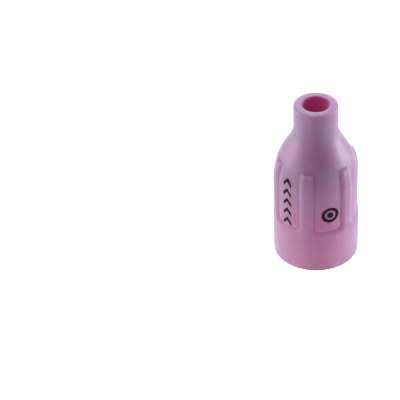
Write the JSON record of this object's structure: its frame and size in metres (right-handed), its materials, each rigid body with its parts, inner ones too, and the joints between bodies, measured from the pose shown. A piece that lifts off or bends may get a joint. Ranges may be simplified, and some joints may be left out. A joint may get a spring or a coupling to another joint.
{
  "type": "tig torch gas nozzle",
  "caption": "Bottle-shaped ceramic gas nozzle for a TIG torch: wide push-fit rear socket, sunken grip panels between ribs, cone and straight neck that guide shielding gas.",
  "frame": {"origin": "middle of the rear rim, the end that pushes onto the torch; the nozzle stands on this rim", "axes": "+Z along the gas passage, from the rear socket to the gas outlet; a rib faces -Y and the printed panels are either side of it"},
  "size_m": [0.0258, 0.0258, 0.052],
  "materials": {
    "alumina": "pink fired alumina, fine-grained, matte with a soft sheen",
    "print_ink": "thin black fired ink, matte"
  },
  "bodies": {
    "root": {"nozzle_body": "alumina"}
  },
  "joints": []
}
